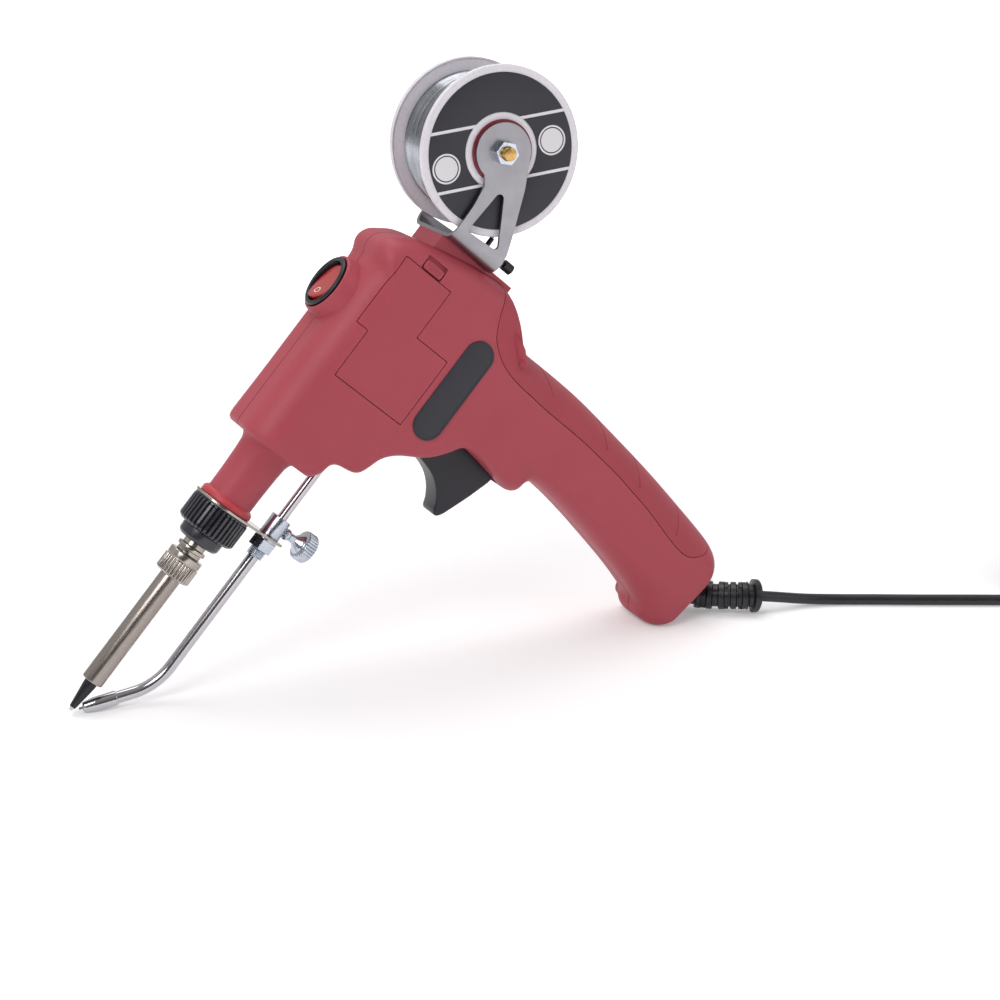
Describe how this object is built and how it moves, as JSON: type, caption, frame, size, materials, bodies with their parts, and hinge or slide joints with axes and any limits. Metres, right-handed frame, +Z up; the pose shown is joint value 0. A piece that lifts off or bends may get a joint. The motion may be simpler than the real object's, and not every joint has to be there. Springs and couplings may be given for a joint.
{
  "type": "solder feed soldering iron",
  "caption": "Pistol-shaped soldering iron that feeds solder wire from a spool on its back through a guide tube to the heated tip at the pull of its trigger.",
  "frame": {"origin": "centre of the footprint on the ground, without the cord, in the pose of the picture: standing on the nozzle and the toe of the handle", "axes": "+X from the tip towards the handle, +Y across, towards the casing half without the cover, +Z up"},
  "size_m": [0.532, 0.1107, 0.2308],
  "materials": {
    "red_case": "fine matte texture",
    "red_rubber": "soft matte",
    "black_plastic": "matte",
    "black_phenolic": "semi-gloss",
    "cord_rubber": "soft",
    "label_film": "satin film",
    "satin_steel": "satin",
    "sleeve_steel": "brushed along the turning",
    "zinc_steel": "zinc plated",
    "brass": "machined",
    "tip_plating": "dark oxidised plating",
    "spool_white": "slightly translucent",
    "solder": "bright drawn wire",
    "bush_red": "moulded",
    "rocker_red": "translucent",
    "ceramic": "ceramic",
    "wire_sleeve": "braided sleeve",
    "tie_fabric": "woven"
  },
  "bodies": {
    "body": {"left_shell": "red_case", "right_shell": "red_case", "nose_tube": "red_case", "grip_cushion": "red_rubber", "label_plate": "label_film", "case_screws": "satin_steel", "trigger_pin": "satin_steel", "return_springs": "satin_steel", "mechanism_frame": "satin_steel", "idler_pivot": "satin_steel", "wire_inlet_guide": "black_plastic", "upper_guide_tube": "satin_steel", "support_plate": "satin_steel", "clamp_block": "satin_steel", "lock_washer": "satin_steel", "guide_nut": "zinc_steel", "solder_wire": "solder", "heater_boss": "black_phenolic", "barrel_neck": "satin_steel", "barrel_sleeve": "sleeve_steel", "soldering_tip": "tip_plating", "heater_element": "ceramic", "inner_wires": "wire_sleeve", "switch_housing": "black_plastic", "spool_bracket": "satin_steel", "bracket_pad": "red_case", "bracket_screws": "black_phenolic", "spool_bolt": "brass", "spool_nut": "zinc_steel", "spool_bushes": "bush_red", "terminal_block": "ceramic", "cord_clamp": "black_plastic", "inner_cord": "cord_rubber", "strain_relief": "cord_rubber", "mains_cord": "cord_rubber", "cord_coil": "cord_rubber", "cord_tie": "tie_fabric", "mains_plug": "cord_rubber", "plug_pins": "zinc_steel"},
    "trigger": {"trigger": "black_plastic"},
    "pawl": {"pawl": "satin_steel"},
    "feed_drive": {"feed_roller": "satin_steel", "ratchet_wheel": "satin_steel", "feed_axle": "satin_steel"},
    "idler": {"idler_arm": "satin_steel", "idler_axle": "satin_steel"},
    "idler_wheel": {"idler_roller": "satin_steel"},
    "cover": {"feed_cover": "red_case"},
    "latch": {"cover_latch": "red_case"},
    "rocker": {"switch_rocker": "rocker_red"},
    "thumb_screw": {"thumb_screw": "zinc_steel"},
    "guide": {"lower_guide_tube": "satin_steel", "nozzle": "zinc_steel", "solder_end": "solder"},
    "barrel_nut": {"barrel_nut": "zinc_steel"},
    "collar": {"collar": "black_phenolic"},
    "spool": {"spool": "spool_white", "solder_core": "solder", "solder_winding": "solder", "spool_label": "label_film"}
  },
  "joints": [
    {"name": "trigger_pull", "type": "hinge", "parent": "body", "child": "trigger", "pos_m": [0.00169, 0, 0.09624], "axis": [0, -1, 0], "range_deg": [0, 15], "stiffness_Nm_per_rad": 0.4, "springref_deg": -20.05},
    {"name": "pawl_swing", "type": "hinge", "parent": "trigger", "child": "pawl", "pos_m": [0.00807, 0, 0.1066], "axis": [0, -1, 0], "range_deg": [-18, 0]},
    {"name": "spool_spin", "type": "hinge", "parent": "body", "child": "spool", "pos_m": [0.03397, 0, 0.19945], "axis": [0, 1, 0], "continuous": true},
    {"name": "feed_spin", "type": "hinge", "parent": "body", "child": "feed_drive", "pos_m": [-0.00898, 0, 0.12147], "axis": [0, 1, 0], "continuous": true},
    {"name": "idler_swing", "type": "hinge", "parent": "body", "child": "idler", "pos_m": [0.01343, 0, 0.12023], "axis": [0, -1, 0], "range_deg": [0, 7], "stiffness_Nm_per_rad": 0.12, "springref_deg": -17.19},
    {"name": "idler_spin", "type": "hinge", "parent": "idler", "child": "idler_wheel", "pos_m": [0.00097, 0, 0.11279], "axis": [0, 1, 0], "continuous": true},
    {"name": "cover_open", "type": "hinge", "parent": "body", "child": "cover", "pos_m": [-0.02939, -0.0184, 0.1215], "axis": [0.7536, 0, -0.6574], "range_deg": [0, 100]},
    {"name": "latch_slide", "type": "slide", "parent": "body", "child": "latch", "axis": [0.6574, 0, 0.7536], "range_m": [0, 0.0014], "stiffness_N_per_m": 300, "springref_m": -0.002},
    {"name": "rocker_tilt", "type": "hinge", "parent": "body", "child": "rocker", "pos_m": [-0.02842, 0, 0.15303], "axis": [0, -1, 0], "range_deg": [0, 18]},
    {"name": "thumb_turn", "type": "hinge", "parent": "body", "child": "thumb_screw", "pos_m": [-0.04151, 0, 0.05284], "axis": [0.7536, 0, -0.6574], "range_deg": [0, 360]},
    {"name": "guide_slide", "type": "slide", "parent": "body", "child": "guide", "axis": [0.6574, 0, 0.7536], "range_m": [-0.004, 0.002]},
    {"name": "nut_turn", "type": "hinge", "parent": "body", "child": "barrel_nut", "pos_m": [-0.09289, 0, 0.0487], "axis": [0.6574, 0, 0.7536], "range_deg": [0, 360]},
    {"name": "collar_turn", "type": "hinge", "parent": "body", "child": "collar", "pos_m": [-0.07962, 0, 0.06392], "axis": [0.6574, 0, 0.7536], "range_deg": [0, 360]}
  ],
  "couplings": [
    {"joint": "pawl_swing", "follows": "trigger_pull", "ratio": -1.15},
    {"joint": "feed_spin", "follows": "spool_spin", "ratio": 4.4167},
    {"joint": "idler_spin", "follows": "spool_spin", "ratio": -4.4167}
  ]
}
